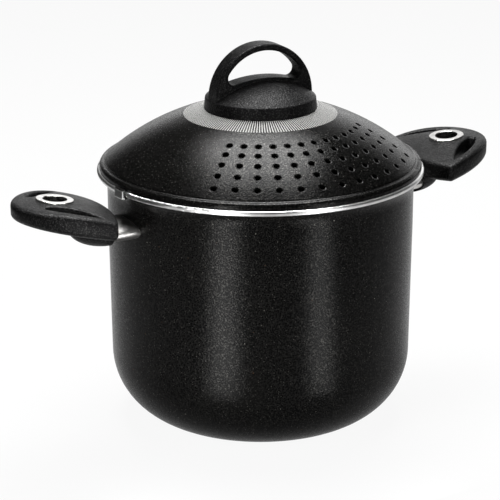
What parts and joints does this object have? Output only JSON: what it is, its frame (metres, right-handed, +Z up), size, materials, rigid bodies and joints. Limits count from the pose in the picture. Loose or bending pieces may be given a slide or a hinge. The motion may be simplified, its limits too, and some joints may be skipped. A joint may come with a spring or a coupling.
{
  "type": "pasta pot with locking strainer lid",
  "caption": "Tall black non-stick pasta pot with a domed strainer lid that twists to lock, an arched knob and loop side handles with steel hanging eyelets.",
  "frame": {"origin": "centre of the base, on the surface that the pot stands on", "axes": "+Z up along the pot's axis, +X towards the right handle, both handles on the X axis, -Y on the side of the lid's drain holes"},
  "size_m": [0.3776, 0.229, 0.27],
  "materials": {
    "nonstick_coating": "satin, speckled",
    "nonstick_lid": "satin, speckled",
    "bakelite": "matt, fine grain",
    "polished_steel": "polished",
    "zinc_steel": "zinc plated",
    "aluminium": "bare",
    "brass": "bare",
    "silicone": "matt"
  },
  "bodies": {
    "pot": {"pot_body": "nonstick_coating", "handle_right": "bakelite", "handle_bracket_right": "aluminium", "handle_ferrule_right": "polished_steel", "handle_eyelet_right": "polished_steel", "handle_washer_right": "zinc_steel", "handle_screw_right": "zinc_steel", "handle_left": "bakelite", "handle_bracket_left": "aluminium", "handle_ferrule_left": "polished_steel", "handle_eyelet_left": "polished_steel", "handle_washer_left": "zinc_steel", "handle_screw_left": "zinc_steel"},
    "lift_seal": {"knob_seal": "silicone"},
    "lid": {"lid_shell": "nonstick_lid", "knob": "bakelite", "knob_insert": "brass", "knob_washer": "zinc_steel", "knob_screw": "zinc_steel"}
  },
  "joints": [
    {"name": "lid_lift", "type": "slide", "parent": "pot", "child": "lift_seal", "axis": [0, 0, 1], "range_m": [0, 0.12]},
    {"name": "lid_twist", "type": "hinge", "parent": "lift_seal", "child": "lid", "pos_m": [0, 0, 0.183], "axis": [0, 0, 1], "range_deg": [-20, 0]}
  ]
}
